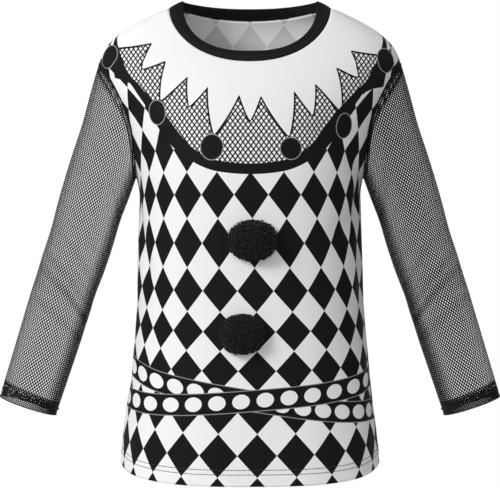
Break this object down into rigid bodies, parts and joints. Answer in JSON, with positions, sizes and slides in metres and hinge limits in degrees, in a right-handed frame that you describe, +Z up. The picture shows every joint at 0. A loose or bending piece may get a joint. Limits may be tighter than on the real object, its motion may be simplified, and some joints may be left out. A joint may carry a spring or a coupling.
{
  "type": "jester costume top",
  "caption": "Long-sleeved jester top for a child: diamond-printed knit body with rib neckband, net sleeves and yarn pompoms, filled out as if worn.",
  "frame": {"origin": "middle of the neck at the height where the shoulder seams meet the neckband, where the wearer's shoulders carry the top", "axes": "+Z up, the front faces -Y, +X to the wearer's left"},
  "size_m": [0.582, 0.2236, 0.5544],
  "materials": {
    "printed_knit": "smooth brushed polyester knit with a black and white print",
    "black_rib": "matt black rib knit",
    "black_net": "black fishnet",
    "black_yarn": "fluffy matt black yarn"
  },
  "bodies": {
    "root": {"front": "printed_knit", "back": "printed_knit", "neckband": "black_rib", "sleeve_right": "black_net", "sleeve_left": "black_net", "cuff_right": "black_net", "cuff_left": "black_net", "pompom_upper": "black_yarn", "pompom_lower": "black_yarn"}
  },
  "joints": []
}
